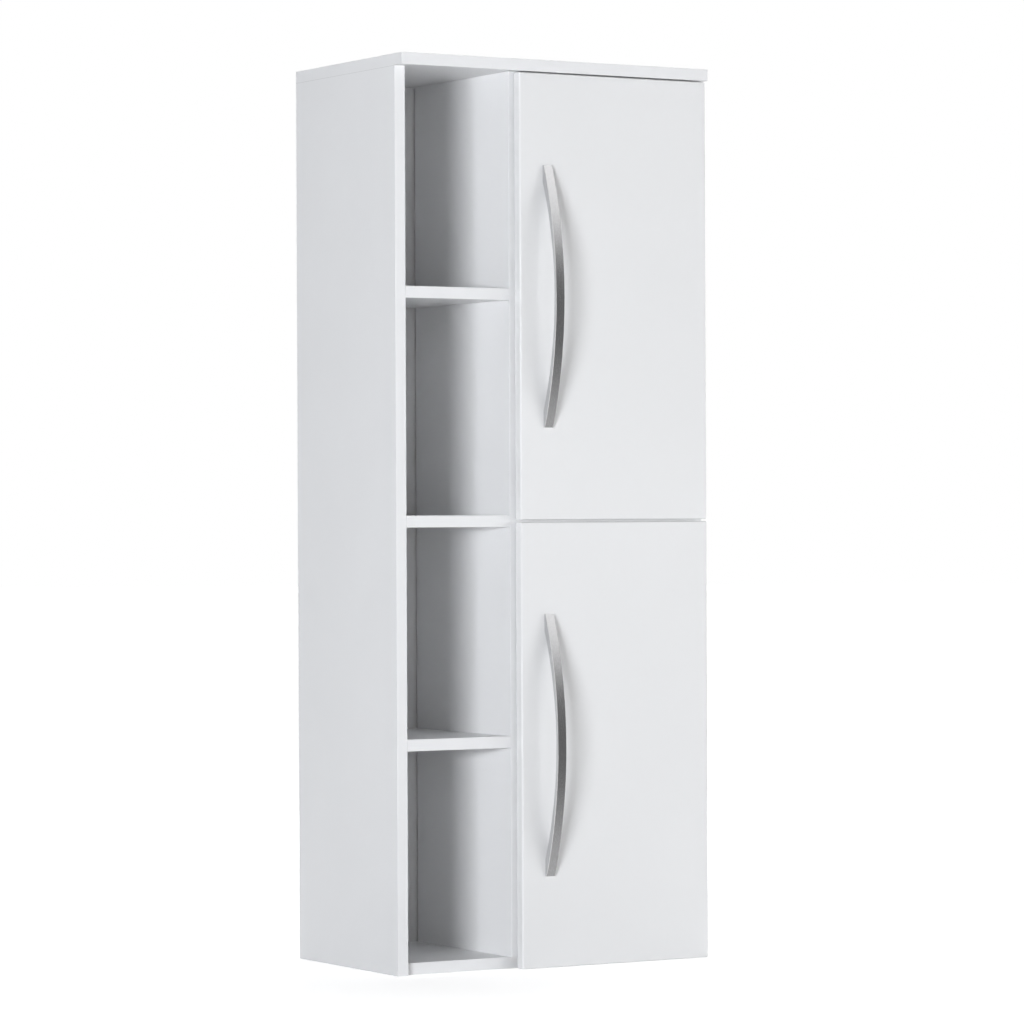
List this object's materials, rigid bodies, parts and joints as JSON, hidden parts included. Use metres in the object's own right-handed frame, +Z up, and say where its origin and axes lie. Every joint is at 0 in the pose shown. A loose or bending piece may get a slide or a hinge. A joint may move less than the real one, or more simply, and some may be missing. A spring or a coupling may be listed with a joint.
{
  "type": "tall bathroom cabinet",
  "caption": "Tall narrow bathroom cabinet: an open shelf bay beside a cupboard closed by an upper and a lower door with bow handles.",
  "frame": {"origin": "centre of the carcass's underside", "axes": "+Z up, +Y towards the wall, +X to the right of somebody facing the doors"},
  "size_m": [0.487, 0.3333, 1.233],
  "materials": {
    "board": "white melamine-faced chipboard, satin",
    "door_foil": "white foil-wrapped fibreboard, gloss",
    "hardboard": "thin fibreboard, white lacquered front, brown rear",
    "rail_board": "white melamine-faced chipboard with raw ends",
    "beech": "fluted beech",
    "handle_metal": "satin brushed",
    "zinc": "die-cast zinc",
    "screw_steel": "zinc-plated",
    "nickel_steel": "nickel-plated, pressed",
    "white_plastic": "moulded",
    "bumper_rubber": "clear soft dot"
  },
  "bodies": {
    "carcass": {"back_panel": "hardboard", "bottom_panel": "board", "cam_bolts": "screw_steel", "cam_caps": "white_plastic", "cam_discs": "zinc", "catch_screws": "screw_steel", "cupboard_middle_shelf": "board", "cupboard_shelf_lower": "board", "cupboard_shelf_upper": "board", "dowels": "beech", "hinge_arm_screws": "screw_steel", "hinge_plate_screws": "screw_steel", "left_side_panel": "board", "lower_catch_body": "white_plastic", "lower_catch_poles": "nickel_steel", "lower_door_bottom_hinge_arm": "nickel_steel", "lower_door_bottom_hinge_plate": "nickel_steel", "lower_door_top_hinge_arm": "nickel_steel", "lower_door_top_hinge_plate": "nickel_steel", "open_shelf_lower": "board", "open_shelf_middle": "board", "open_shelf_upper": "board", "partition": "board", "right_side_panel": "board", "shelf_pins": "screw_steel", "top_panel": "board", "upper_catch_body": "white_plastic", "upper_catch_poles": "nickel_steel", "upper_door_bottom_hinge_arm": "nickel_steel", "upper_door_bottom_hinge_plate": "nickel_steel", "upper_door_top_hinge_arm": "nickel_steel", "upper_door_top_hinge_plate": "nickel_steel", "wall_rail_lower": "rail_board", "wall_rail_upper": "rail_board"},
    "upper_door": {"upper_door_bottom_hinge_cup": "nickel_steel", "upper_door_bottom_hinge_pin": "nickel_steel", "upper_door_bumpers": "bumper_rubber", "upper_door_cup_screws": "screw_steel", "upper_door_handle": "handle_metal", "upper_door_handle_screws": "screw_steel", "upper_door_panel": "door_foil", "upper_door_top_hinge_cup": "nickel_steel", "upper_door_top_hinge_pin": "nickel_steel", "upper_strike_plate": "nickel_steel", "upper_strike_screws": "screw_steel"},
    "lower_door": {"lower_door_bottom_hinge_cup": "nickel_steel", "lower_door_bottom_hinge_pin": "nickel_steel", "lower_door_bumpers": "bumper_rubber", "lower_door_cup_screws": "screw_steel", "lower_door_handle": "handle_metal", "lower_door_handle_screws": "screw_steel", "lower_door_panel": "door_foil", "lower_door_top_hinge_cup": "nickel_steel", "lower_door_top_hinge_pin": "nickel_steel", "lower_strike_plate": "nickel_steel", "lower_strike_screws": "screw_steel"}
  },
  "joints": [
    {"name": "upper_door_swing", "type": "hinge", "parent": "carcass", "child": "upper_door", "pos_m": [0.2311, -0.1528, 0.9118], "axis": [0, 0, 1], "range_deg": [0, 95]},
    {"name": "lower_door_swing", "type": "hinge", "parent": "carcass", "child": "lower_door", "pos_m": [0.2311, -0.1528, 0.30325], "axis": [0, 0, 1], "range_deg": [0, 95]}
  ]
}
